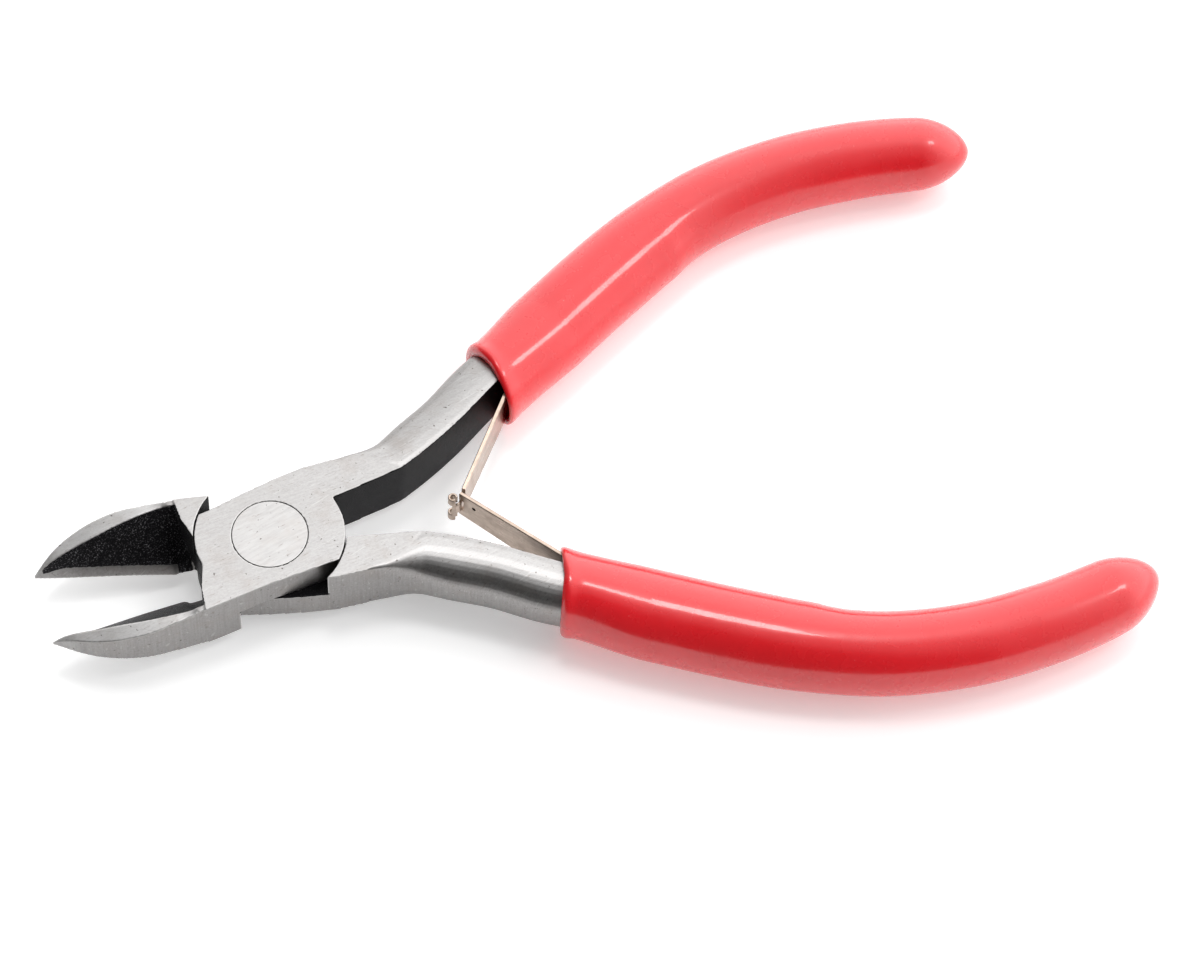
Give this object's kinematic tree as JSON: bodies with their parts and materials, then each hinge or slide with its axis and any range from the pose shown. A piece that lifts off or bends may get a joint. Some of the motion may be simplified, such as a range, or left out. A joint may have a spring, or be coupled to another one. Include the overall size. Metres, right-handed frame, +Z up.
{
  "type": "diagonal cutting pliers",
  "caption": "Small lap-joint diagonal cutting pliers with bevelled jaws, a flush pivot rivet, interlocked leaf springs and closed vinyl grips.",
  "frame": {"origin": "on the pivot's axis, at the flat back face of the joint", "axes": "+X along the middle line towards the handles, -X towards the jaw tips, +Z up along the pivot's axis"},
  "size_m": [0.1111, 0.0696, 0.0095],
  "materials": {
    "forged_steel": "satin ground steel, black forged in the bevels and on the inner handle walls",
    "rivet_steel": "fine ground",
    "spring_nickel": "warm nickel-plated spring strip",
    "grip_vinyl": "glossy dipped red vinyl"
  },
  "bodies": {
    "top_half": {"top_lever": "forged_steel", "pivot_rivet": "rivet_steel", "top_grip": "grip_vinyl", "top_leaf_tail": "spring_nickel", "top_spring_rivet": "rivet_steel"},
    "bottom_half": {"bottom_lever": "forged_steel", "bottom_grip": "grip_vinyl", "bottom_leaf_tail": "spring_nickel", "bottom_spring_rivet": "rivet_steel"},
    "top_leaf": {"top_leaf_arm": "spring_nickel"},
    "bottom_leaf": {"bottom_leaf_arm": "spring_nickel"}
  },
  "joints": [
    {"name": "jaw_pivot", "type": "hinge", "parent": "top_half", "child": "bottom_half", "pos_m": [0, 0, 0], "axis": [0, 0, 1], "range_deg": [0, 18.2], "stiffness_Nm_per_rad": 0.8, "springref_deg": -7.45},
    {"name": "top_leaf_flex", "type": "hinge", "parent": "top_half", "child": "top_leaf", "pos_m": [0.0288, 0.01095, 0], "axis": [0, 0, 1], "range_deg": [-17.5, 0]},
    {"name": "bottom_leaf_flex", "type": "hinge", "parent": "bottom_half", "child": "bottom_leaf", "pos_m": [0.0288, -0.01095, 0], "axis": [0, 0, 1], "range_deg": [0, 17.5]}
  ],
  "couplings": [
    {"joint": "top_leaf_flex", "follows": "jaw_pivot", "ratio": -0.938},
    {"joint": "bottom_leaf_flex", "follows": "jaw_pivot", "ratio": 0.938}
  ]
}
